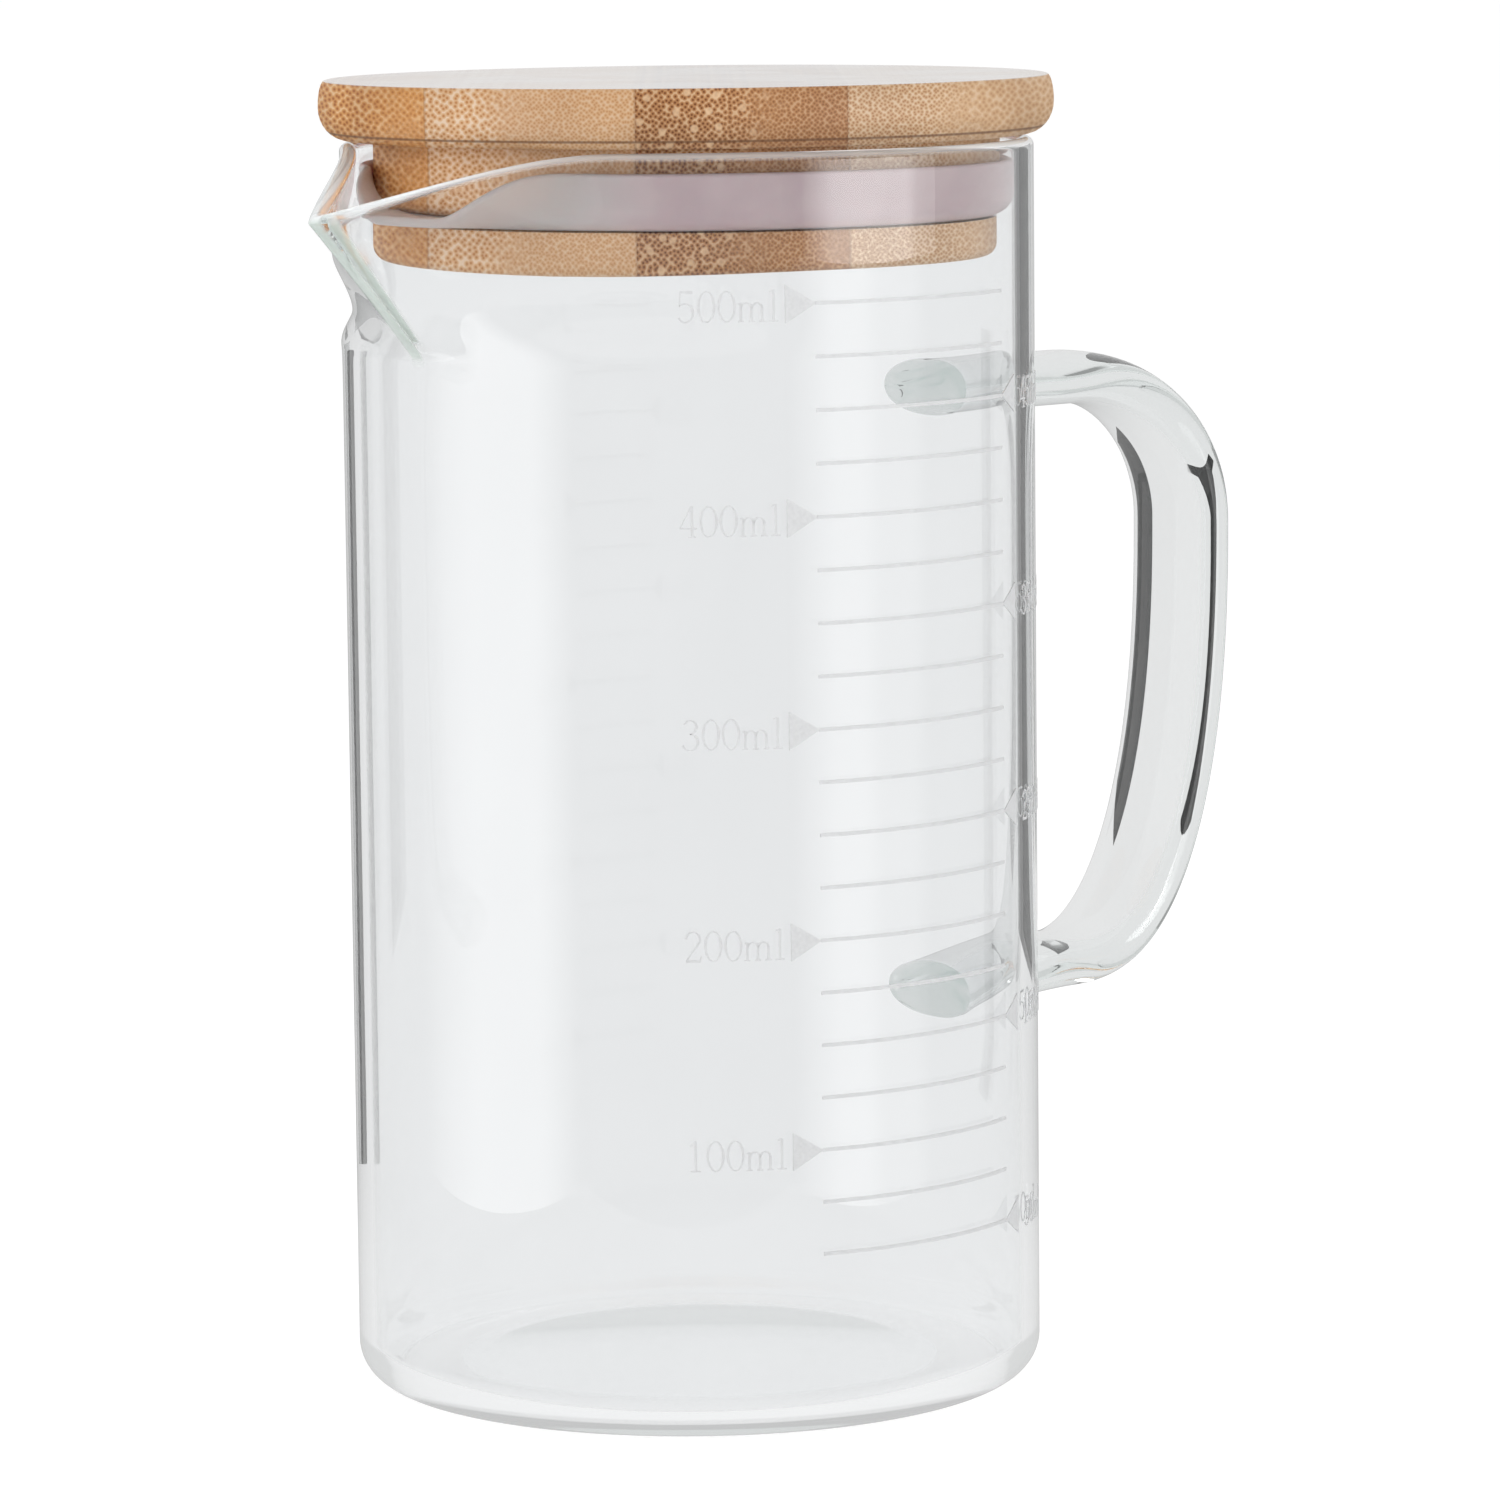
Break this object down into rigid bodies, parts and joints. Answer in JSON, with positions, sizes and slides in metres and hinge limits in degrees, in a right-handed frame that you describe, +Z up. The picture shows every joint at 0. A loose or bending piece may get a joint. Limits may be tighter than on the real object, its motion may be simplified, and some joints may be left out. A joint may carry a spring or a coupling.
{
  "type": "measuring jug",
  "caption": "Clear glass cylinder measuring jug with a pinched spout, strap handle, printed millilitre scale and a plug-in bamboo lid sealed by a silicone ring.",
  "frame": {"origin": "middle of the base's standing ring, on the jug's axis, at table height", "axes": "+Z up along the jug's axis, +X towards the handle, -X towards the spout, -Y towards the printed scale"},
  "size_m": [0.1356, 0.0826, 0.1479],
  "materials": {
    "glass": "clear, fire-polished borosilicate",
    "enamel": "thin fired enamel print",
    "silicone": "translucent, satin",
    "bamboo_amber": "sanded, waxed",
    "bamboo_pale": "sanded, waxed",
    "bamboo_brown": "sanded, waxed",
    "bamboo_tan": "sanded, waxed"
  },
  "bodies": {
    "jug": {"jug_body": "glass", "handle": "glass", "scale_lines": "enamel", "scale_pointers": "enamel"},
    "seal": {"seal_ring": "silicone"},
    "lid": {"lid_strip_1": "bamboo_amber", "lid_strip_2": "bamboo_pale", "lid_strip_3": "bamboo_brown", "lid_strip_4": "bamboo_tan", "plug_strip_1": "bamboo_amber", "plug_strip_2": "bamboo_pale", "plug_strip_3": "bamboo_brown", "plug_strip_4": "bamboo_tan"}
  },
  "joints": [
    {"name": "lid_lift", "type": "slide", "parent": "jug", "child": "seal", "axis": [0, 0, 1], "range_m": [0, 0.045]},
    {"name": "lid_turn", "type": "hinge", "parent": "seal", "child": "lid", "pos_m": [0, 0, 0.1328], "axis": [0, 0, 1], "continuous": true}
  ]
}
